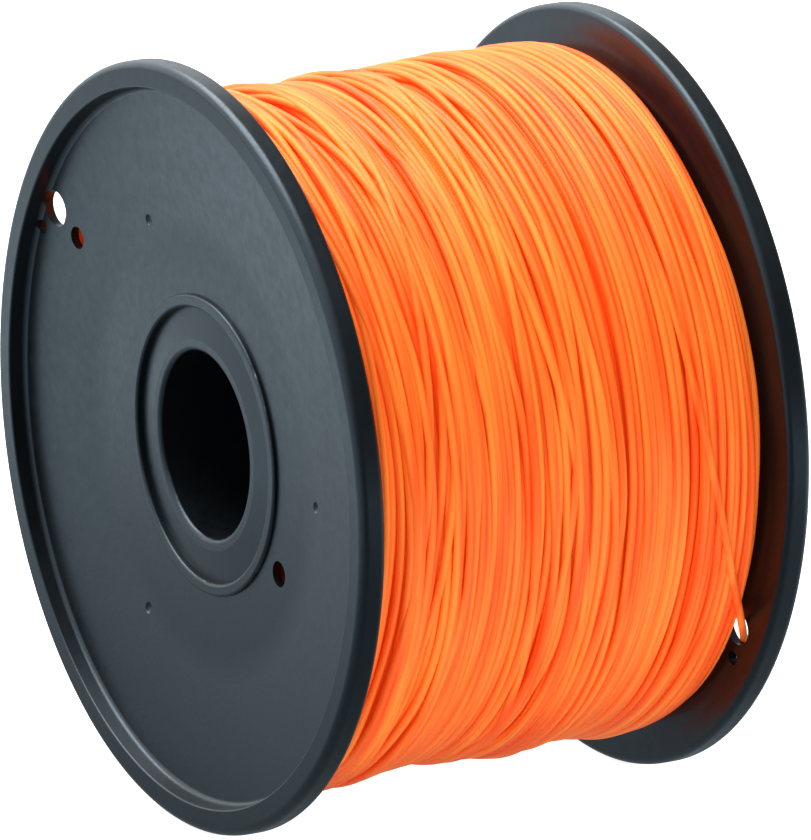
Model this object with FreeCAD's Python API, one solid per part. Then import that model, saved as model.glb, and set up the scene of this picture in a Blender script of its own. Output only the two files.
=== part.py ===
import FreeCAD, Part
import math
import os

# Filament spool: two dished flanges on a hollow drum, wound full of 1.75 mm filament.
# Millimetres. The spool's axis is Y, Z is up, and the origin is on the axis at mid-width.
# The front of the spool is the -Y side. Angles run round the axis from +Z towards +X.
# A "depth" is measured from the plane of a flange's rim face towards mid-width.

# Driving dimensions
SPOOL_WIDTH = 104.0
FLANGE_R = 80.0
BORE_R = 19.5
DRUM_R = 31.0
STRAND_R = 0.875

# Flange
RIM_WIDTH = 5.5
RIM_THICKNESS = 5.6
RIM_FACE_ROUND = 1.8
RIM_BACK_ROUND = 1.4
RIM_LIP_ROUND = 0.4
RIM_INNER_R = FLANGE_R - RIM_WIDTH
WEB_THICKNESS = 1.8
WEB_RIM_DEPTH = RIM_THICKNESS - WEB_THICKNESS
WEB_HUB_DEPTH = 7.0
WEB_FLAT_R = 46.0
WEB_BEND_ROUND = 60.0
WEB_RIM_BEND_ROUND = 12.0
DISH_CORNER_ROUND = 1.2
RIM_WALL_DRAFT = 0.3

# Holes that take a filament end, on one diameter of each flange
HOLE_LINE_ANGLE = 301.0
TIE_HOLE = {"r": 70.5, "angle": HOLE_LINE_ANGLE, "hole_r": 3.85}
PIN_HOLE = {"r": 72.9, "angle": HOLE_LINE_ANGLE - 5.7, "hole_r": 1.5}
CLIP_HOLE = {"r": 61.5, "angle": HOLE_LINE_ANGLE, "hole_r": 2.4}
START_HOLE = {"r": 37.2, "angle": HOLE_LINE_ANGLE - 180.0, "hole_r": 2.7}
REAR_HOLE_LINE_ANGLE = 121.0

# Three gate marks left by the mould, shallow dimples on the web
GATE_R = 48.2
GATE_COUNT = 3
GATE_FIRST_ANGLE = 91.0
GATE_DIMPLE_R = 1.1
GATE_DIMPLE_DEPTH = 0.4

# Drum
DRUM_INNER_R = 27.5
DRUM_SEAT_R = 28.7
DRUM_SPIGOT_R = 30.1
BEAD_OUTER_R = 31.3
BEAD_HEIGHT = 0.9
BEAD_ROUND = 0.6
START_HOLE_GAP = 0.1

# Hub ends: an annular end plate, half of the bore tube, and ribs
HUB_FACE_DEPTH = 6.7
HUB_FACE_FALL = 0.9
HUB_PLATE_THICKNESS = 2.2
HUB_EDGE_ROUND = 1.0
TUBE_WALL = 2.4
SPIGOT_LENGTH = 8.0
SPIGOT_WALL = 1.2
RIB_COUNT = 6
RIB_THICKNESS = 1.6
RIB_LENGTH = 14.0
RIB_GAP = 0.3
RIB_ROOT = 0.5

# Filament
WINDING_R = 72.3
SHOULDER_DROP = 3.4
SHOULDER_WIDTH = 3.2
WINDING_SAMPLES = 53
TAIL_R = 73.75
TUCK_R = 71.9
START_STUB_LENGTH = 7.0

HALF_WIDTH = SPOOL_WIDTH / 2
WEB_BACK_DEPTH = WEB_HUB_DEPTH + WEB_THICKNESS
START_Y = HALF_WIDTH - WEB_BACK_DEPTH - 3 * STRAND_R
HUB_SEAT_DEPTH = HUB_FACE_DEPTH + HUB_FACE_FALL + HUB_PLATE_THICKNESS
AXIS = FreeCAD.Vector(0, 1, 0)
ORIGIN = FreeCAD.Vector(0, 0, 0)


def direction(angle):
    """Unit vector square to the axis, at an angle from +Z towards +X."""
    turn = math.radians(angle)
    return FreeCAD.Vector(math.sin(turn), 0, math.cos(turn))


def at(radius, angle, y):
    """Point at a radius, an angle and a place along the axis."""
    return direction(angle) * radius + FreeCAD.Vector(0, y, 0)


def corner_arc(before, corner, after, radius):
    """Arc of a given radius that rounds off one corner of an outline."""
    to_before = (before - corner).normalize()
    to_after = (after - corner).normalize()
    half_angle = to_before.getAngle(to_after) / 2
    reach = radius / math.tan(half_angle)
    towards_centre = (to_before + to_after).normalize()
    centre = corner + towards_centre * (radius / math.sin(half_angle))
    start = corner + to_before * reach
    end = corner + to_after * reach
    return start, centre - towards_centre * radius, end


def outline(corners):
    """Closed wire through (radius, y, rounding) corners, in the plane through the axis and +X."""
    points = [FreeCAD.Vector(radius, y, 0) for radius, y, rounding in corners]
    pieces = []
    for index, (radius, y, rounding) in enumerate(corners):
        corner = points[index]
        if rounding:
            pieces.append(corner_arc(points[index - 1], corner, points[(index + 1) % len(points)], rounding))
        else:
            pieces.append((corner, None, corner))
    edges = []
    for index, (start, middle, end) in enumerate(pieces):
        if middle:
            edges.append(Part.Arc(start, middle, end).toShape())
        following = pieces[(index + 1) % len(pieces)][0]
        if end.distanceToPoint(following) > 1e-6:
            edges.append(Part.makeLine(end, following))
    return Part.Wire(edges)


def revolve(wire):
    """Solid of revolution round the spool's axis."""
    return Part.Face(wire).revolve(ORIGIN, AXIS, 360)


def turned(corners):
    """Solid of revolution from corners given as (radius, depth below the front rim face, rounding)."""
    return revolve(outline([(radius, depth - HALF_WIDTH, rounding) for radius, depth, rounding in corners]))


def drill(shape, hole):
    """Cut one round hole right through a flange's web."""
    start = at(hole["r"], hole["angle"], -HALF_WIDTH)
    return shape.cut(Part.makeCylinder(hole["hole_r"], 2 * WEB_HUB_DEPTH, start, AXIS))


def flip_to_rear(shape):
    """The same moulding on the rear side, turned over about a line across the flange."""
    turn_line = direction((HOLE_LINE_ANGLE + REAR_HOLE_LINE_ANGLE) / 2)
    rear = shape.copy()
    rear.rotate(ORIGIN, turn_line, 180)
    return rear


def web_back(inner_r):
    """Corners of the flange's face towards the filament, from its rim to a radius at the hub."""
    return [
        (RIM_INNER_R, RIM_THICKNESS, WEB_RIM_BEND_ROUND),
        (WEB_FLAT_R, WEB_BACK_DEPTH, WEB_BEND_ROUND + WEB_THICKNESS),
        (inner_r, WEB_BACK_DEPTH, 0),
    ]


def flange():
    """Front flange: thick rounded rim, thin web that falls towards the hub, filament holes."""
    body = turned([
        (RIM_INNER_R, 0, RIM_LIP_ROUND),
        (FLANGE_R, 0, RIM_FACE_ROUND),
        (FLANGE_R, RIM_THICKNESS, RIM_BACK_ROUND),
        *web_back(DRUM_SPIGOT_R),
        (DRUM_SPIGOT_R, WEB_HUB_DEPTH, 0),
        (WEB_FLAT_R, WEB_HUB_DEPTH, WEB_BEND_ROUND),
        (RIM_INNER_R - RIM_WALL_DRAFT, WEB_RIM_DEPTH, DISH_CORNER_ROUND),
    ])
    for hole in (TIE_HOLE, PIN_HOLE, CLIP_HOLE, START_HOLE):
        body = drill(body, hole)
    for index in range(GATE_COUNT):
        angle = GATE_FIRST_ANGLE + index * 360 / GATE_COUNT
        web_face = at(GATE_R, angle, WEB_HUB_DEPTH - HALF_WIDTH - GATE_DIMPLE_R)
        dimple = Part.makeSphere(GATE_DIMPLE_R + GATE_DIMPLE_DEPTH, web_face)
        body = body.cut(dimple)
    return body


def drum():
    """Barrel that the filament is wound on, with a rolled bead that holds each flange."""
    shoulder = HALF_WIDTH - WEB_BACK_DEPTH
    web_face = HALF_WIDTH - WEB_HUB_DEPTH
    bead_top = web_face + BEAD_HEIGHT
    seat = HALF_WIDTH - HUB_SEAT_DEPTH
    upper = [
        (DRUM_INNER_R, seat, 0),
        (DRUM_SEAT_R, seat, 0),
        (DRUM_SEAT_R, bead_top, BEAD_ROUND),
        (BEAD_OUTER_R, bead_top, BEAD_ROUND),
        (BEAD_OUTER_R, web_face, 0),
        (DRUM_SPIGOT_R, web_face, 0),
        (DRUM_SPIGOT_R, shoulder, 0),
        (DRUM_R, shoulder, 0),
    ]
    lower = [(radius, -y, rounding) for radius, y, rounding in reversed(upper)]
    barrel = revolve(outline(upper + lower))
    middle = FreeCAD.Vector(0, START_Y, 0)
    start_hole = Part.makeCylinder(STRAND_R + START_HOLE_GAP, DRUM_R + 1, middle, direction(HOLE_LINE_ANGLE))
    return barrel.cut(start_hole)


def hub_end(outer_wall, length):
    """End plate, bore tube and ribs on the front side, without the joint at mid-width."""
    tube_r = BORE_R + TUBE_WALL
    plate_edge_depth = HUB_FACE_DEPTH + HUB_FACE_FALL
    body = turned([
        (BORE_R, HUB_FACE_DEPTH, HUB_EDGE_ROUND),
        (tube_r, HUB_FACE_DEPTH, 0),
        (DRUM_SEAT_R, plate_edge_depth, 0),
        (DRUM_SEAT_R, HUB_SEAT_DEPTH, 0),
        (tube_r, HUB_SEAT_DEPTH, 0),
        (tube_r, HALF_WIDTH, 0),
        (outer_wall, HALF_WIDTH, 0),
        (outer_wall, HALF_WIDTH + length, 0),
        (BORE_R, HALF_WIDTH + length, 0),
    ])
    rib_reach = DRUM_INNER_R - RIB_GAP
    for index in range(RIB_COUNT):
        corner = FreeCAD.Vector(tube_r - TUBE_WALL / 2, -HALF_WIDTH + HUB_SEAT_DEPTH - RIB_ROOT, -RIB_THICKNESS / 2)
        rib = Part.makeBox(rib_reach - corner.x, RIB_LENGTH, RIB_THICKNESS, corner)
        rib.rotate(ORIGIN, AXIS, index * 360 / RIB_COUNT)
        body = body.fuse(rib)
    return body.removeSplitter()


def front_hub_end():
    """Hub end whose bore tube finishes in a thin spigot past mid-width."""
    return hub_end(BORE_R + SPIGOT_WALL, SPIGOT_LENGTH)


def rear_hub_end():
    """Hub end whose bore tube is opened out to take the front one's spigot."""
    body = flip_to_rear(hub_end(BORE_R + TUBE_WALL, 0))
    socket = Part.makeCylinder(BORE_R + SPIGOT_WALL, SPIGOT_LENGTH, ORIGIN, AXIS)
    return body.cut(socket)


def winding_radius(y):
    """Outer radius of the wound pack: shallow waves along the drum, lower beside the flanges."""
    waves = 0.5 * math.sin(y / 5.2) + 0.35 * math.sin(y / 2.9 + 1.0)
    edge = max(0.0, abs(y) - (HALF_WIDTH - RIM_THICKNESS - SHOULDER_WIDTH)) / SHOULDER_WIDTH
    return WINDING_R + waves * (1 - edge) - SHOULDER_DROP * edge ** 2


def winding():
    """The wound part of the filament, as one ring that fills the space between the flanges."""
    rim_y = HALF_WIDTH - RIM_THICKNESS
    crest = []
    for index in range(WINDING_SAMPLES):
        y = rim_y - 2 * rim_y * index / (WINDING_SAMPLES - 1)
        crest.append(FreeCAD.Vector(winding_radius(y), y, 0))
    curve = Part.BSplineCurve()
    curve.interpolate(crest)
    blank = Part.Wire([
        Part.makeLine(FreeCAD.Vector(DRUM_R, -rim_y, 0), FreeCAD.Vector(DRUM_R, rim_y, 0)),
        Part.makeLine(FreeCAD.Vector(DRUM_R, rim_y, 0), crest[0]),
        curve.toShape(),
        Part.makeLine(crest[-1], FreeCAD.Vector(DRUM_R, -rim_y, 0)),
    ])
    web_space = turned([(DRUM_R, 0, 0), (FLANGE_R, 0, 0), (FLANGE_R, RIM_THICKNESS, 0), *web_back(DRUM_R)])
    return revolve(blank).cut(web_space).cut(flip_to_rear(web_space))


def tube(points, radius):
    """Round tube along straight runs that are joined by tangent arcs."""
    edges = []
    cursor = points[0]
    for index in range(1, len(points) - 1):
        before, corner, after = points[index - 1], points[index], points[index + 1]
        shorter = min(corner.distanceToPoint(before), corner.distanceToPoint(after))
        half_turn = (corner - before).getAngle(after - corner) / 2
        bend_r = 0.45 * shorter / math.tan(half_turn)
        start, middle, end = corner_arc(before, corner, after, bend_r)
        edges.append(Part.makeLine(cursor, start))
        edges.append(Part.Arc(start, middle, end).toShape())
        cursor = end
    edges.append(Part.makeLine(cursor, points[-1]))
    path = Part.Wire(edges)
    section = Part.Wire(Part.makeCircle(radius, points[0], points[1] - points[0]))
    return path.makePipeShell([section], True, False)


def filament_tail():
    """Outer end of the filament: off the pack, through the rear tie hole and along the dish."""
    route = [
        at(TAIL_R, 64.0, 26.2),
        at(TAIL_R, 72.0, 28.0),
        at(TAIL_R, 80.0, 30.0),
        at(TAIL_R, 88.0, 32.2),
        at(TAIL_R, 96.0, 34.8),
        at(TAIL_R, 104.0, 37.9),
        at(TAIL_R - 0.1, 111.5, 41.4),
        at(TUCK_R + 0.2, 118.0, 44.9),
        at(TUCK_R - 0.7, 122.5, 48.4),
        at(TUCK_R - 1.2, 127.2, 50.6),
    ]
    return tube(route, STRAND_R)


def filament_start():
    """Inner end of the filament: through the drum's hole, so that the first turn can't slip."""
    start = at(DRUM_R, HOLE_LINE_ANGLE, START_Y)
    return Part.makeCylinder(STRAND_R, START_STUB_LENGTH, start, direction(HOLE_LINE_ANGLE) * -1)


def build():
    """Every piece of the spool by name, where it lies in the assembly."""
    front = flange()
    return {
        "front_flange": front,
        "rear_flange": flip_to_rear(front),
        "winding_drum": drum(),
        "front_hub_end": front_hub_end(),
        "rear_hub_end": rear_hub_end(),
        "filament_winding": winding(),
        "filament_tail": filament_tail(),
        "filament_start": filament_start(),
    }


os.makedirs("parts", exist_ok=True)
for name, shape in build().items():
    print(name, "solids", len(shape.Solids), "valid", shape.isValid(), "cm3", round(shape.Volume / 1000, 2))
    shape.exportStep("parts/" + name + ".step")
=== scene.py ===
import math
import bmesh
import bpy
import numpy as np
from mathutils import Matrix, Vector


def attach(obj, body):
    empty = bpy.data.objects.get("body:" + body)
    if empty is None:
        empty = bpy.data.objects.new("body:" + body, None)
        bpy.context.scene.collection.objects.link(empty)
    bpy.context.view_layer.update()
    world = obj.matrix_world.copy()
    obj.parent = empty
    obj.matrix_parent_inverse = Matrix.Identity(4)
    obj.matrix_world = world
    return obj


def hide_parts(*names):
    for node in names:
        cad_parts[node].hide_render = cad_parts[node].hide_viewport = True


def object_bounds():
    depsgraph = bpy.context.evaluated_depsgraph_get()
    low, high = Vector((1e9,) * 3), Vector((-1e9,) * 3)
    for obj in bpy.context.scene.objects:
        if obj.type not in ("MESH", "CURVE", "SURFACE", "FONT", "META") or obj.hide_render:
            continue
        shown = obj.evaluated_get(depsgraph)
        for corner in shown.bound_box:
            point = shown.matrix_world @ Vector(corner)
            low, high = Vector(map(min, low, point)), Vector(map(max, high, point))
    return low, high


# Filament spool: the frame's drum and hub ends keep their shape and get a moulded-plastic finish,
# the flanges are turned again with finer steps, and the filament is laid turn by turn as real
# strands, down to its tail in the rear flange.
# Millimetres until a mesh is made. The spool's axis is Y, and angles run from +Z towards +X.

MM = 0.001
SEED = 3

# Flange: corners of its outline as (radius, depth below the rim face, rounding)
HALF_WIDTH = 52.0
FLANGE_R = 80.0
RIM_THICKNESS = 5.6
WEB_DEPTH = 7.0
WEB_BACK = 8.8
FLANGE_OUTLINE = (
    (74.5, 0.0, 0.4),
    (FLANGE_R, 0.0, 1.8),
    (FLANGE_R, RIM_THICKNESS, 1.4),
    (74.5, RIM_THICKNESS, 12.0),
    (46.0, WEB_BACK, 61.8),
    (30.1, WEB_BACK, 0.0),
    (30.1, WEB_DEPTH, 0.0),
    (46.0, WEB_DEPTH, 60.0),
    (74.2, 3.8, 1.2),
)

# How finely the flange is turned, the line it is turned over about, and where its shading breaks
FLANGE_STEPS = 360
ARC_STEP = 0.12
RUN_STEP = 3.0
RUN_MARGIN = 0.15
FLIP_ANGLE = 211.0
SHARP = 0.6

# Holes in the web as (radius, angle, hole radius), and the dimples that the mould's gates leave
HOLES = ((70.5, 301.0, 3.85), (72.9, 295.3, 1.5), (61.5, 301.0, 2.4), (37.2, 121.0, 2.7))
GATES = ((48.2, 91.0), (48.2, 211.0), (48.2, 331.0))
GATE_BALL_R = 1.5
GATE_BALL_LIFT = 1.1
HOLE_SIDES = 64

# Filament: stations are the steps of one turn, and a sweep runs from one flange to the other
STRAND_R = 0.875
STRAND_SIDES = 8
END_SHARE = 0.02
STATIONS = 240
TURNS_PER_SWEEP = 46
SWEEPS = 4
SWEEP_REACH = 44.8
BUILD_UP = 5.6

# How a strand answers its guide and the grooves that it is laid on, per station. At each one it
# tries places within its reach, where leaving the guide has a price (GUIDE_HOLD), and follows the
# best of them softly. NESTING is how high it rides over a turn below, PROUDEST how far the last
# layer may stand above the pack, and a BLOCK of stations is eased over its bumps at a time.
GROOVE_REACH = 1.8
GROOVE_TRIES = 19
SWEEPS_BELOW = 2.3
GUIDE_HOLD = 0.8
FOLLOW = 0.14
NESTING = 0.66
PROUDEST = 1.1
LAYER_RISE = 0.35
STEEPEST = 0.25
STIFFNESS = 0.25
TAIL_PULL = 0.8
BLOCK = 60
RISE_REACH = 4
RISE_SPAN = 7
TAIL_SMOOTHING = 2

# Core under the strands
CORE_REACH = 43.0
CORE_INNER_R = 50.0
CORE_ROWS = 61

# How the winding wanders from an even sweep: a quick shake, a slow drift and, in the last layers,
# leaps across the turns. Sizes are millimetres and spans are turns.
WANDER = 1.1
WANDER_SPAN = 0.3
DRIFT = 0.95
DRIFT_SPAN = 2.3
LEAP_COUNT = 24
LEAP_SIZE = 8.5
LEAP_SPREAD = (0.5, 1.2)
LEAP_SPAN = 0.17
LEAPS_WITHIN = (0.76, 0.97)

# The pack's outer radius along the axis, over the top and at the bottom: places, then radii.
# Between the two it is a little fuller.
TOP_ANGLE = -18.0
SIDE_FULLNESS = 1.3
TOP_PROFILE = (
    (-46.0, -41.0, -26.0, -18.0, -10.0, 0.0, 10.0, 21.0, 26.0, 34.0, 41.0, 43.0, 46.0),
    (68.6, 71.6, 71.4, 70.1, 71.8, 70.9, 71.5, 72.2, 71.7, 72.7, 72.3, 71.5, 69.0),
)
BOTTOM_PROFILE = (
    (-46.0, -40.0, -29.0, -21.0, -12.0, -4.0, 5.0, 11.0, 22.0, 29.0, 35.0, 41.0, 43.0, 46.0),
    (68.6, 72.2, 73.2, 71.5, 70.5, 71.4, 71.3, 72.4, 70.2, 71.4, 72.4, 71.8, 71.0, 69.0),
)

# Tail: angles and places along the axis on the pack, then radii, angles and places in the hole
TAIL_ON_PACK = (
    (20.0, 40.0, 56.0, 72.0, 80.0, 88.0, 96.5, 105.0, 112.0),
    (26.0, 26.6, 27.7, 29.3, 30.6, 32.6, 35.4, 38.8, 41.9),
)
TAIL_IN_HOLE = (
    (73.1, 71.9, 71.0, 70.7),
    (115.5, 119.2, 123.4, 127.6),
    (43.4, 45.6, 48.6, 50.4),
)
# Degrees over which the strand comes under the tail's hold
TAIL_LEAD = 50.0

# Tone of the filament: changes per metre along X, Y and Z, many along the axis and few round it
STREAKS = (16.0, 420.0, 16.0)

# Camera: degrees and millimetres, but its farthest distance seen is in metres
CAMERA_AZIMUTH = 61.14
CAMERA_ELEVATION = 16.11
CAMERA_ROLL = -0.10
CAMERA_DISTANCE = 2362.0
CAMERA_SIDE = 2.8
CAMERA_RISE = -2.0
LENS = 490.5
SENSOR = 36.0
SHIFT_X = -0.0065
SHIFT_Y = 0.006
FARTHEST_SEEN = 50.0

# Studio light, in metres and watts; the surround's brightness falls off away from its bright side
OVERHEAD_SPOT = (-0.6, -0.3, 1.5)
OVERHEAD_SIZE = 1.5
OVERHEAD_POWER = 54.0
BRIGHT_SIDE = (-0.55, -0.35, 0.75)
SURROUND_DIM = 0.2
SURROUND_BRIGHT = 2.2
SURROUND_SPAN = (-0.2, 1.0)
SURROUND_TINT = (0.93, 0.98, 1.0, 1)

# Floor and grey cards: the shade card dims the light thrown up at the winding, and the back card
# is what the rims' outer faces reflect
FLOOR_GLOW = 0.88
SHEET_HALF = 4.0
SHADE_GLOW = 0.72
SHADE_HALF = 0.075
BACK_GLOW = 0.3
BACK_HALF = 0.7
BACK_SPOT = (-0.15, 0.65, 0.8)

# Reflected table: where it brightens, in front of the spool and behind it, and its shades
TABLE_FRONT = (-0.5, -0.866, 0.0)
TABLE_BACK = (0.0, 1.15, 0.0)
TABLE_SPAN = (-0.25, 0.55)
TABLE_BRIGHTNESS = 2.0
TABLE_TINT = (0.84, 1.0, 1.1)
# The shades are painted: the dark ones close to the spool stand for the spool's shadow on the table.
TABLE_SHADES = (
    (0.0, 0.04), (0.31, 0.15), (0.56, 0.32), (0.6, 0.42), (0.65, 0.5), (0.7, 0.92), (0.75, 1.0), (0.8, 0.6),
    (0.86, 0.42), (0.96, 0.42),
)


# ---------------------------------------------------------------- meshes

def points_round(y, radius, angle):
    """Points in space from places along the axis, radii and angles."""
    return np.stack([radius * np.sin(angle), y, radius * np.cos(angle)], axis=-1)


def mesh_object(name, vertices, faces, material):
    """Object in the scene from points in millimetres; quads are shaded smooth and end caps flat."""
    mesh = bpy.data.meshes.new(name)
    mesh.from_pydata([tuple(point) for point in np.asarray(vertices) * MM], [], faces)
    mesh.update()
    mesh.polygons.foreach_set("use_smooth", [len(face) == 4 for face in faces])
    mesh.materials.append(material)
    made = bpy.data.objects.new(name, mesh)
    bpy.context.scene.collection.objects.link(made)
    return made


def tube_rings(path, radius, sides):
    """Rings of points round a path of points, one ring for each point."""
    tangent = np.gradient(path, axis=0)
    tangent /= np.linalg.norm(tangent, axis=1)[:, None]
    outward = path * (1, 0, 1)
    outward /= np.linalg.norm(outward, axis=1)[:, None]
    side = np.cross(tangent, outward)
    side /= np.linalg.norm(side, axis=1)[:, None]
    lift = np.cross(side, tangent)
    turn = np.linspace(0, 2 * math.pi, sides, endpoint=False)
    across = side[:, None, :] * np.sin(turn)[None, :, None]
    up = lift[:, None, :] * np.cos(turn)[None, :, None]
    return path[:, None, :] + radius * (across + up)


def tube_faces(first, rings, sides, capped):
    """Quads between the rings of one tube, whose points start at an index, and its two end caps."""
    ring = np.arange(rings - 1)[:, None] * sides
    corner = np.arange(sides)[None, :]
    following = (corner + 1) % sides
    quads = [ring + corner, ring + sides + corner, ring + sides + following, ring + following]
    faces = (np.stack(quads, axis=-1).reshape(-1, 4) + first).tolist()
    if capped:
        last = first + (rings - 1) * sides
        faces.append(list(range(first, first + sides)))
        faces.append(list(range(last + sides - 1, last - 1, -1)))
    return faces


def closed_ring_faces(rings, sides):
    """Quads between rings that follow one another, from the last one back to the first."""
    last = (rings - 1) * sides
    corners = [(corner, (corner + 1) % sides) for corner in range(sides)]
    joining = [[last + corner, corner, following, last + following] for corner, following in corners]
    return tube_faces(0, rings, sides, False) + joining


def smoothed(values, reach):
    """Values along a line, averaged with their neighbours by a bell curve."""
    steps = np.arange(-3 * reach, 3 * reach + 1)
    weights = np.exp(-0.5 * (steps / reach) ** 2)
    padded = np.pad(values, 3 * reach, mode="edge")
    return np.convolve(padded, weights / weights.sum(), mode="valid")


# ---------------------------------------------------------------- flanges

def corner_points(before, corner, after, rounding):
    """Points of the arc that rounds off one corner; places in the outline's plane are complex numbers."""
    if not rounding:
        return [corner]
    to_before = (before - corner) / abs(before - corner)
    to_after = (after - corner) / abs(after - corner)
    half = abs(np.angle(to_after / to_before)) / 2
    middle = to_before + to_after
    centre = corner + middle / abs(middle) * rounding / math.sin(half)
    start = corner + to_before * rounding / math.tan(half) - centre
    end = corner + to_after * rounding / math.tan(half) - centre
    turn = np.angle(end / start)
    steps = max(4, math.ceil(abs(turn) / ARC_STEP))
    return list(centre + start * np.exp(1j * turn * np.linspace(0, 1, steps + 1)))


def run_points(start, end):
    """Points inside a straight run, two of them close to its ends so that it shades flat."""
    length = abs(end - start)
    if length < 3 * RUN_MARGIN:
        return []
    steps = math.ceil(length / RUN_STEP)
    shares = np.linspace(RUN_MARGIN / length, 1 - RUN_MARGIN / length, steps + 1)
    return list(start + (end - start) * shares)


def flange_outline():
    """Closed outline of the flange, with its corners rounded and its straight runs divided."""
    corners = [radius + 1j * depth for radius, depth, rounding in FLANGE_OUTLINE]
    arcs = []
    for index, (radius, depth, rounding) in enumerate(FLANGE_OUTLINE):
        following = corners[(index + 1) % len(corners)]
        arcs.append(corner_points(corners[index - 1], corners[index], following, rounding))
    points = []
    for index, arc in enumerate(arcs):
        points += arc + run_points(arc[-1], arcs[(index + 1) % len(arcs)][0])
    return points


def on_web(radius, degrees, depth):
    """Move to a place on the front flange, at a depth below its rim face."""
    turn = math.radians(degrees)
    return Matrix.Translation((radius * math.sin(turn), depth - HALF_WIDTH, radius * math.cos(turn)))


def flange_cutters():
    """The holes and gate dimples of the front flange, as one object to cut away."""
    cutters = bmesh.new()
    upright = Matrix.Rotation(math.radians(90), 4, "X")
    for radius, degrees, hole_r in HOLES:
        place = on_web(radius, degrees, WEB_DEPTH)
        bmesh.ops.create_cone(cutters, cap_ends=True, segments=HOLE_SIDES, radius1=hole_r, radius2=hole_r,
                              depth=2 * WEB_DEPTH, matrix=place @ upright)
    for radius, degrees in GATES:
        place = on_web(radius, degrees, WEB_DEPTH - GATE_BALL_LIFT)
        bmesh.ops.create_uvsphere(cutters, u_segments=32, v_segments=16, radius=GATE_BALL_R, matrix=place)
    bmesh.ops.scale(cutters, vec=(MM, MM, MM), verts=cutters.verts)
    mesh = bpy.data.meshes.new("flange_cutters")
    cutters.to_mesh(mesh)
    cutters.free()
    made = bpy.data.objects.new("flange_cutters", mesh)
    bpy.context.scene.collection.objects.link(made)
    return made


def front_flange(material):
    """Flange turned from its outline, with its holes and gate dimples cut."""
    turn = np.linspace(0, 2 * math.pi, FLANGE_STEPS, endpoint=False)
    rings = []
    for point in flange_outline():
        rings.append(points_round(np.full(FLANGE_STEPS, point.imag - HALF_WIDTH), point.real, turn))
    faces = closed_ring_faces(len(rings), FLANGE_STEPS)
    flange = mesh_object("front_flange_moulding", np.concatenate(rings), faces, material)
    cutters = flange_cutters()
    cut = flange.modifiers.new("holes", "BOOLEAN")
    cut.operation = "DIFFERENCE"
    cut.solver = "EXACT"
    cut.object = cutters
    mesh = bpy.data.meshes.new_from_object(flange.evaluated_get(bpy.context.evaluated_depsgraph_get()))
    flange.modifiers.clear()
    flange.data = mesh
    bpy.data.objects.remove(cutters)
    mesh.polygons.foreach_set("use_smooth", [True] * len(mesh.polygons))
    mesh.set_sharp_from_angle(angle=SHARP)
    return flange


def rear_flange(front):
    """The same moulding turned over about a line across the flange."""
    turn = math.radians(FLIP_ANGLE)
    mesh = front.data.copy()
    mesh.transform(Matrix.Rotation(math.pi, 4, Vector((math.sin(turn), 0, math.cos(turn)))))
    made = bpy.data.objects.new("rear_flange_moulding", mesh)
    bpy.context.scene.collection.objects.link(made)
    return made


# ---------------------------------------------------------------- winding

def noise_line(random, count, span):
    """Smooth random line of unit height whose bends are about span stations long."""
    knots = random.standard_normal(int(count / span) + 3)
    rough = np.interp(np.arange(count) / span, np.arange(len(knots)), knots)
    return smoothed(rough, max(1, int(span / 3)))


def station_angles(first, count):
    """Angle at each of a run of stations."""
    return 2 * math.pi * (first + np.arange(count)) / STATIONS


def guide_line(random):
    """Place along the axis at each station, to the tail's end, and how firmly the strand is held there."""
    sweep_stations = TURNS_PER_SWEEP * STATIONS
    tail_stations = int(STATIONS * TAIL_ON_PACK[0][-1] / 360)
    count = SWEEPS * sweep_stations + tail_stations
    start = 0.5 + 0.5 * TAIL_ON_PACK[1][0] / SWEEP_REACH
    phase = (start + np.arange(count) / sweep_stations) % 2
    line = SWEEP_REACH * (1 - 2 * np.abs(phase - 1))
    line += WANDER * noise_line(random, count, WANDER_SPAN * STATIONS)
    line += DRIFT * noise_line(random, count, DRIFT_SPAN * STATIONS)
    for leap in range(LEAP_COUNT):
        middle = random.uniform(*LEAPS_WITHIN) * count
        size = LEAP_SIZE * random.uniform(*LEAP_SPREAD) * random.choice((-1, 1))
        line += size * np.exp(-(((np.arange(count) - middle) / (LEAP_SPAN * STATIONS)) ** 2))
    line = np.clip(line, -SWEEP_REACH, SWEEP_REACH)
    degrees = (np.arange(count) - (count - tail_stations)) * 360 / STATIONS
    share = np.clip(1 + (degrees - TAIL_ON_PACK[0][0]) / TAIL_LEAD, 0, 1)
    return line * (1 - share) + np.interp(degrees, *TAIL_ON_PACK) * share, share


def pack_radius(y, angle):
    """Outer radius that the pack should reach at places along the axis and an angle."""
    turn = angle - math.radians(TOP_ANGLE)
    share = 0.5 + 0.5 * math.cos(turn)
    radius = np.interp(y, *TOP_PROFILE) * share + np.interp(y, *BOTTOM_PROFILE) * (1 - share)
    return radius + SIDE_FULLNESS * math.sin(turn) ** 2


def rest_radius(y, angle, near_y, near_r, proud):
    """Radius where a taut strand comes to rest, on the core or pressed into the turns already laid."""
    core = pack_radius(y, angle) - BUILD_UP + STRAND_R
    apart = np.abs(near_y[:, None] - y)
    on_turn = near_r[:, None] + NESTING * np.sqrt(np.clip(4 * STRAND_R ** 2 - apart ** 2, 0, None))
    on_turn[apart >= 2 * STRAND_R] = 0
    pressed = core + BUILD_UP - 2 * STRAND_R + proud
    return np.minimum(np.maximum(core, on_turn.max(axis=0, initial=0)), pressed)


def eased_over(heights):
    """Heights along a taut strand, which rides over each bump and spans the dips beside it."""
    padded = np.pad(heights, RISE_SPAN // 2, mode="edge")
    crest = np.lib.stride_tricks.sliding_window_view(padded, RISE_SPAN).max(axis=-1)
    return smoothed(crest, RISE_REACH)


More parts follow.
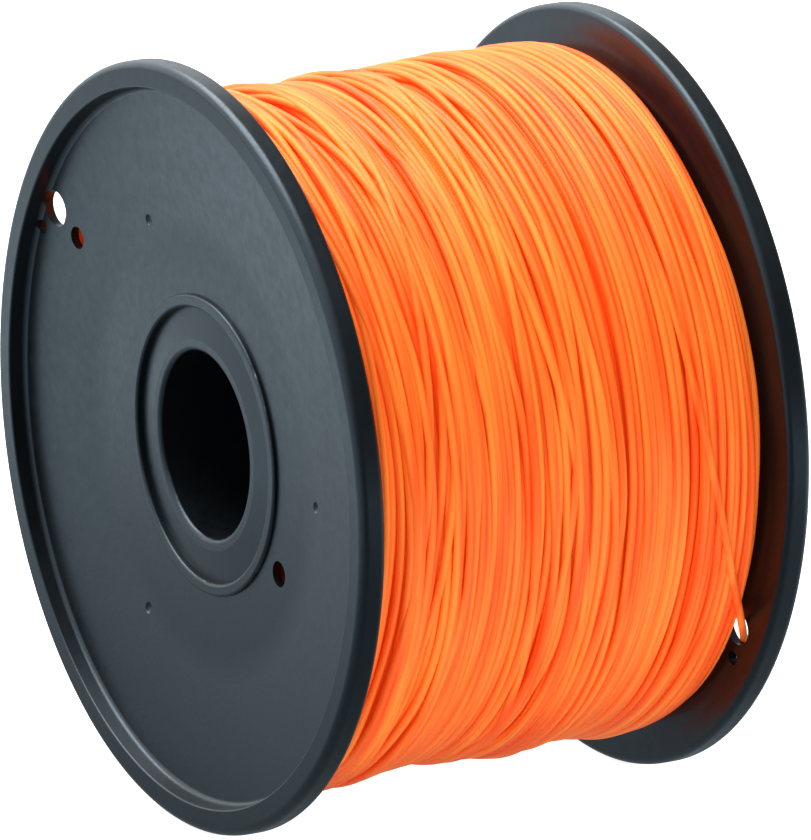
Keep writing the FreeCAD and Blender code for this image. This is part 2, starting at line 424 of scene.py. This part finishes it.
def lay_strand(guide, hold):
    """Follow the guide station by station, slipping into the grooves between the turns below.

    Where hold is above 0 the strand keeps to the guide instead, as the tail does.
    """
    count = len(guide)
    recent = int(SWEEPS_BELOW * TURNS_PER_SWEEP) * STATIONS
    y = np.zeros(count)
    raised = np.zeros(count)
    radius = np.zeros(count)
    reach = np.linspace(-GROOVE_REACH, GROOVE_REACH, GROOVE_TRIES)
    place = guide[0]
    speed = 0.0
    for step in range(count):
        angle = 2 * math.pi * (step % STATIONS) / STATIONS
        first = max(step % STATIONS, step % STATIONS + (step - recent) // STATIONS * STATIONS)
        options = np.clip(place + reach, -SWEEP_REACH, SWEEP_REACH)
        proud = PROUDEST - LAYER_RISE * SWEEPS * (1 - step / count)
        heights = rest_radius(options, angle, y[first:step:STATIONS], radius[first:step:STATIONS], proud)
        target = options[np.argmin(heights + GUIDE_HOLD * (options - guide[step]) ** 2)]
        wanted = max(-STEEPEST, min(STEEPEST, FOLLOW * (target - place)))
        speed += STIFFNESS * (wanted - speed)
        y[step] = place
        raised[step] = heights[len(reach) // 2]
        step_free = (1 - hold[step]) * speed
        step_held = TAIL_PULL * hold[step] * (guide[step] - place)
        place = min(SWEEP_REACH, max(-SWEEP_REACH, place + step_free + step_held))
        if (step + 1) % BLOCK == 0 or step == count - 1:
            begin = max(0, step + 1 - 2 * BLOCK)
            margin = BLOCK // 2 if begin else 0
            radius[begin + margin:step + 1] = eased_over(raised[begin:step + 1])[margin:]
    return y, radius


def tail_path(y, radius, angle):
    """The strand's end: over the pack, down into the hole in the rear flange and into its dish."""
    last = math.degrees(angle[-1])
    hole_r, hole_angle, hole_y = TAIL_IN_HOLE
    full_turns = round((last - TAIL_ON_PACK[0][-1]) / 360) * 360
    step = 360 / STATIONS
    extra = np.arange(last + step, full_turns + hole_angle[-1] + 0.5 * step, step)
    known = [last] + [full_turns + value for value in hole_angle]
    y = smoothed(np.concatenate([y, np.interp(extra, known, [y[-1], *hole_y])]), TAIL_SMOOTHING)
    radius = np.concatenate([radius, np.interp(extra, known, [radius[-1], *hole_r])])
    radius = smoothed(radius, TAIL_SMOOTHING)
    return points_round(y, radius, np.concatenate([angle, np.radians(extra)]))


def strand_object(name, rings, material):
    """One length of strand as a closed tube, with a ring close to each end to keep the end crisp."""
    first = rings[0] + END_SHARE * (rings[1] - rings[0])
    last = rings[-1] + END_SHARE * (rings[-2] - rings[-1])
    rings = np.concatenate([rings[:1], first[None], rings[1:-1], last[None], rings[-1:]])
    return mesh_object(name, rings.reshape(-1, 3), tube_faces(0, len(rings), STRAND_SIDES, True), material)


def wind_filament(material):
    """The strand from flange to flange and back, one mesh for each sweep, and its tail."""
    guide, hold = guide_line(np.random.default_rng(SEED))
    y, radius = lay_strand(guide, hold)
    rings = tube_rings(tail_path(y, radius, station_angles(0, len(y))), STRAND_R, STRAND_SIDES)
    tail_start = len(y) - int(STATIONS * (TAIL_ON_PACK[0][-1] - TAIL_ON_PACK[0][0]) / 360)
    cuts = [sweep * TURNS_PER_SWEEP * STATIONS for sweep in range(SWEEPS)] + [tail_start]
    pieces = []
    for number, (start, stop) in enumerate(zip(cuts, cuts[1:]), 1):
        pieces.append(strand_object("filament_sweep_%d" % number, rings[start:stop + 1], material))
    return pieces, strand_object("filament_tail_strand", rings[tail_start:], material)


def winding_core(material):
    """Closed ring under the strands, which stands for the deeper layers of the pack."""
    rows = np.linspace(-CORE_REACH, CORE_REACH, CORE_ROWS)
    angle = station_angles(0, STATIONS)
    rings = []
    for row in rows:
        outer = np.array([pack_radius(row, turn) for turn in angle]) - BUILD_UP
        rings.append(points_round(np.full(STATIONS, row), outer, angle))
    for row in (CORE_REACH, -CORE_REACH):
        rings.append(points_round(np.full(STATIONS, row), np.full(STATIONS, CORE_INNER_R), angle))
    vertices = np.concatenate(rings)
    return mesh_object("filament_core", vertices, closed_ring_faces(len(rings), STATIONS), material)


# ---------------------------------------------------------------- materials

class Nodes:
    """Short way to add and join the nodes of one material."""

    def __init__(self, name):
        self.material = bpy.data.materials.new(name)
        self.material.use_nodes = True
        self.tree = self.material.node_tree
        self.tree.nodes.clear()
        self.output = self.add("ShaderNodeOutputMaterial")

    def add(self, kind, **settings):
        node = self.tree.nodes.new(kind)
        for key, value in settings.items():
            setattr(node, key, value)
        return node

    def join(self, source, target):
        self.tree.links.new(source, target)

    def noise(self, coordinate, scale, detail=3.0, roughness=0.55):
        node = self.add("ShaderNodeTexNoise")
        node.inputs["Scale"].default_value = scale
        node.inputs["Detail"].default_value = detail
        node.inputs["Roughness"].default_value = roughness
        self.join(coordinate, node.inputs["Vector"])
        return node.outputs["Fac"]

    def ramp(self, source, stops):
        node = self.add("ShaderNodeValToRGB")
        elements = node.color_ramp.elements
        while len(elements) < len(stops):
            elements.new(0.5)
        for element, (place, colour) in zip(elements, stops):
            element.position = place
            element.color = colour
        self.join(source, node.inputs["Fac"])
        return node.outputs["Color"]

    def grey(self, source, low, high, start=0.3, end=0.7):
        return self.ramp(source, ((start, (low, low, low, 1)), (end, (high, high, high, 1))))

    def bump(self, height, distance, strength=1.0, normal=None):
        node = self.add("ShaderNodeBump")
        node.inputs["Strength"].default_value = strength
        node.inputs["Distance"].default_value = distance
        self.join(height, node.inputs["Height"])
        if normal is not None:
            self.join(normal, node.inputs["Normal"])
        return node.outputs["Normal"]


def black_plastic():
    """Black injection-moulded plastic: satin, faintly mottled, with a very fine orange-peel."""
    nodes = Nodes("black_moulded_plastic")
    place = nodes.add("ShaderNodeTexCoord").outputs["Object"]
    shader = nodes.add("ShaderNodeBsdfPrincipled")
    shader.inputs["IOR"].default_value = 1.5
    shader.inputs["Specular Tint"].default_value = (0.68, 0.86, 1.0, 1)
    broad = nodes.noise(place, 26.0, 4.0)
    fine = nodes.noise(place, 420.0, 3.0)
    peel = nodes.noise(place, 1500.0, 2.0)
    nodes.join(nodes.ramp(broad, ((0.3, (0.001, 0.0014, 0.0018, 1)), (0.7, (0.002, 0.0026, 0.0032, 1)))),
               shader.inputs["Base Color"])
    nodes.join(nodes.grey(fine, 0.3, 0.38), shader.inputs["Roughness"])
    waves = nodes.bump(broad, 0.0006, 0.25)
    nodes.join(nodes.bump(peel, 0.00005, 0.5, waves), shader.inputs["Normal"])
    nodes.join(shader.outputs["BSDF"], nodes.output.inputs["Surface"])
    return nodes.material


def orange_filament():
    """Orange filament: smooth satin plastic, its tone drifting along it, with a faint painted glow in place
    of the light that its translucency lets through.
    """
    nodes = Nodes("orange_filament")
    place = nodes.add("ShaderNodeTexCoord").outputs["Object"]
    shader = nodes.add("ShaderNodeBsdfPrincipled")
    shader.inputs["IOR"].default_value = 1.46
    stretch = nodes.add("ShaderNodeMapping")
    stretch.inputs["Scale"].default_value = STREAKS
    nodes.join(place, stretch.inputs["Vector"])
    streaks = nodes.noise(stretch.outputs["Vector"], 1.0, 2.0)
    fine = nodes.noise(place, 900.0, 2.0)
    colour = nodes.ramp(streaks, ((0.34, (0.86, 0.085, 0.006, 1)), (0.66, (0.95, 0.215, 0.026, 1))))
    nodes.join(colour, shader.inputs["Base Color"])
    # Painted glow: the filament's own colour is also given off faintly as light, so that its shaded gaps
    # stay bright orange.
    nodes.join(colour, shader.inputs["Emission Color"])
    shader.inputs["Emission Strength"].default_value = 0.12
    shader.inputs["Specular IOR Level"].default_value = 0.22
    nodes.join(nodes.grey(fine, 0.42, 0.52), shader.inputs["Roughness"])
    nodes.join(nodes.bump(fine, 0.00003, 0.4), shader.inputs["Normal"])
    nodes.join(shader.outputs["BSDF"], nodes.output.inputs["Surface"])
    return nodes.material


def floor_paint():
    """White studio floor, lit through from below so that only faint shadows fall on it."""
    nodes = Nodes("studio_floor")
    place = nodes.add("ShaderNodeTexCoord").outputs["Object"]
    shader = nodes.add("ShaderNodeBsdfPrincipled")
    nodes.join(nodes.grey(nodes.noise(place, 3.0), 0.49, 0.5), shader.inputs["Base Color"])
    shader.inputs["Emission Color"].default_value = (1, 1, 1, 1)
    shader.inputs["Emission Strength"].default_value = FLOOR_GLOW
    shader.inputs["Roughness"].default_value = 0.9
    nodes.join(shader.outputs["BSDF"], nodes.output.inputs["Surface"])
    return nodes.material


def table_paint():
    """Table that the plastic reflects, whose shade changes with the distance from the spool; the dark shade
    near the spool is a painted shadow of the spool.
    """
    nodes = Nodes("reflected_table")
    place = nodes.add("ShaderNodeTexCoord").outputs["Object"]
    along = nodes.add("ShaderNodeMath", operation="MAXIMUM")
    for side, towards in enumerate((TABLE_FRONT, TABLE_BACK)):
        part = nodes.add("ShaderNodeVectorMath", operation="DOT_PRODUCT")
        part.inputs[1].default_value = towards
        nodes.join(place, part.inputs[0])
        nodes.join(part.outputs["Value"], along.inputs[side])
    span = nodes.add("ShaderNodeMapRange")
    span.inputs["From Min"].default_value = TABLE_SPAN[0]
    span.inputs["From Max"].default_value = TABLE_SPAN[1]
    nodes.join(along.outputs["Value"], span.inputs["Value"])
    glow = nodes.add("ShaderNodeEmission")
    stops = [(where, (*(shade * part for part in TABLE_TINT), 1)) for where, shade in TABLE_SHADES]
    nodes.join(nodes.ramp(span.outputs["Result"], stops), glow.inputs["Color"])
    glow.inputs["Strength"].default_value = TABLE_BRIGHTNESS
    nodes.join(glow.outputs["Emission"], nodes.output.inputs["Surface"])
    return nodes.material


# ---------------------------------------------------------------- studio

def view_axes():
    """Unit vectors to the camera's right, up and back."""
    azimuth = math.radians(CAMERA_AZIMUTH)
    elevation = math.radians(CAMERA_ELEVATION)
    roll = math.radians(CAMERA_ROLL)
    back = Vector((math.sin(azimuth) * math.cos(elevation), -math.cos(azimuth) * math.cos(elevation),
                   math.sin(elevation)))
    right = Vector((math.cos(azimuth), math.sin(azimuth), 0.0))
    up = back.cross(right)
    return right * math.cos(roll) + up * math.sin(roll), up * math.cos(roll) - right * math.sin(roll), back


def place_camera():
    """Long lens far off, at the angle of a catalogue picture."""
    right, up, back = view_axes()
    data = bpy.data.cameras.new("camera")
    data.sensor_width = SENSOR
    data.lens = LENS
    data.shift_x = SHIFT_X
    data.shift_y = SHIFT_Y
    data.clip_end = FARTHEST_SEEN
    camera = bpy.data.objects.new("camera", data)
    spot = (back * CAMERA_DISTANCE + right * CAMERA_SIDE + up * CAMERA_RISE) * MM
    camera.matrix_world = Matrix.Translation(spot) @ Matrix((right, up, back)).transposed().to_4x4()
    bpy.context.scene.collection.objects.link(camera)
    bpy.context.scene.camera = camera


def softbox(name, spot, size, power):
    """Square white area light that looks at the spool."""
    data = bpy.data.lights.new(name, "AREA")
    data.shape = "SQUARE"
    data.size = size
    data.energy = power
    light = bpy.data.objects.new(name, data)
    light.location = spot
    light.visible_camera = False
    light.rotation_euler = (-Vector(spot)).to_track_quat("-Z", "Y").to_euler()
    bpy.context.scene.collection.objects.link(light)


def surround():
    """Pale surround whose light comes from above and the left, and falls off towards the camera."""
    world = bpy.data.worlds.new("surround")
    world.use_nodes = True
    tree = world.node_tree
    direction = tree.nodes.new("ShaderNodeTexCoord")
    towards = tree.nodes.new("ShaderNodeVectorMath")
    towards.operation = "DOT_PRODUCT"
    towards.inputs[1].default_value = Vector(BRIGHT_SIDE).normalized()
    tree.links.new(direction.outputs["Generated"], towards.inputs[0])
    fall = tree.nodes.new("ShaderNodeMapRange")
    fall.interpolation_type = "SMOOTHSTEP"
    fall.inputs["From Min"].default_value = SURROUND_SPAN[0]
    fall.inputs["From Max"].default_value = SURROUND_SPAN[1]
    fall.inputs["To Min"].default_value = SURROUND_DIM
    fall.inputs["To Max"].default_value = SURROUND_BRIGHT
    tree.links.new(towards.outputs["Value"], fall.inputs["Value"])
    lighting = tree.nodes["Background"]
    lighting.inputs["Color"].default_value = SURROUND_TINT
    tree.links.new(fall.outputs["Result"], lighting.inputs["Strength"])
    backdrop = tree.nodes.new("ShaderNodeBackground")
    backdrop.inputs["Color"].default_value = (1, 1, 1, 1)
    rays = tree.nodes.new("ShaderNodeLightPath")
    mix = tree.nodes.new("ShaderNodeMixShader")
    tree.links.new(rays.outputs["Is Camera Ray"], mix.inputs["Fac"])
    tree.links.new(lighting.outputs["Background"], mix.inputs[1])
    tree.links.new(backdrop.outputs["Background"], mix.inputs[2])
    tree.links.new(mix.outputs["Shader"], tree.nodes["World Output"].inputs["Surface"])
    bpy.context.scene.world = world


def card_paint(name, brightness):
    """Even glow of a grey studio card."""
    nodes = Nodes(name)
    glow = nodes.add("ShaderNodeEmission")
    glow.inputs["Strength"].default_value = brightness
    nodes.join(glow.outputs["Emission"], nodes.output.inputs["Surface"])
    return nodes.material


def level_sheet(name, height, half, material):
    """Level square sheet on the spool's upright line, which the exported part leaves out."""
    sheet = bmesh.new()
    bmesh.ops.create_grid(sheet, x_segments=4, y_segments=4, size=half)
    mesh = bpy.data.meshes.new(name)
    sheet.to_mesh(mesh)
    sheet.free()
    mesh.materials.append(material)
    level = bpy.data.objects.new(name, mesh)
    level.location = (0, 0, height)
    bpy.context.scene.collection.objects.link(level)
    return level


def studio(floor_z):
    """White floor, the table that the plastic reflects, two grey cards, a softbox and the surround."""
    floor = level_sheet("floor", floor_z, SHEET_HALF, floor_paint())
    floor.visible_glossy = False
    shade = level_sheet("shade_card", floor_z + MM, SHADE_HALF, card_paint("shade_card", SHADE_GLOW))
    shade.visible_camera = False
    shade.visible_glossy = False
    shade.visible_shadow = False
    table = level_sheet("reflected_table", floor_z - MM, SHEET_HALF, table_paint())
    table.visible_camera = False
    table.visible_diffuse = False
    table.visible_shadow = False
    back = level_sheet("back_card", 0.0, BACK_HALF, card_paint("back_card", BACK_GLOW))
    back.location = BACK_SPOT
    back.rotation_euler = (-Vector(BACK_SPOT)).to_track_quat("-Z", "Y").to_euler()
    back.visible_camera = False
    back.visible_diffuse = False
    back.visible_shadow = False
    softbox("overhead", OVERHEAD_SPOT, OVERHEAD_SIZE, OVERHEAD_POWER)
    surround()
    bpy.context.scene.view_settings.view_transform = "Standard"


# ---------------------------------------------------------------- the spool

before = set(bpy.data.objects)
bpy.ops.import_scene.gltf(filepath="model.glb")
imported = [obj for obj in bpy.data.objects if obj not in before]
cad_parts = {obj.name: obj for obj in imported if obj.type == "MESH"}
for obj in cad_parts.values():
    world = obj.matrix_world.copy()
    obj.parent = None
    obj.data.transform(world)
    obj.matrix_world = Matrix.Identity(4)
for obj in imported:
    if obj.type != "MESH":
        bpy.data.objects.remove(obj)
cad_box = [list(corner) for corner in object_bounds()]
place_camera()

plastic = black_plastic()
filament = orange_filament()
for name in ("winding_drum", "front_hub_end", "rear_hub_end"):
    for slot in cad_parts[name].material_slots:
        slot.material = plastic
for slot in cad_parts["filament_start"].material_slots:
    slot.material = filament

front = front_flange(plastic)
for piece, node in ((front, "front_flange"), (rear_flange(front), "rear_flange")):
    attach(piece, "root")
    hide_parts(node)

strands, tail = wind_filament(filament)
for piece in strands + [winding_core(filament)]:
    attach(piece, "root")
    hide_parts("filament_winding")
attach(tail, "root")
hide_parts("filament_tail")

studio(cad_box[0][2])
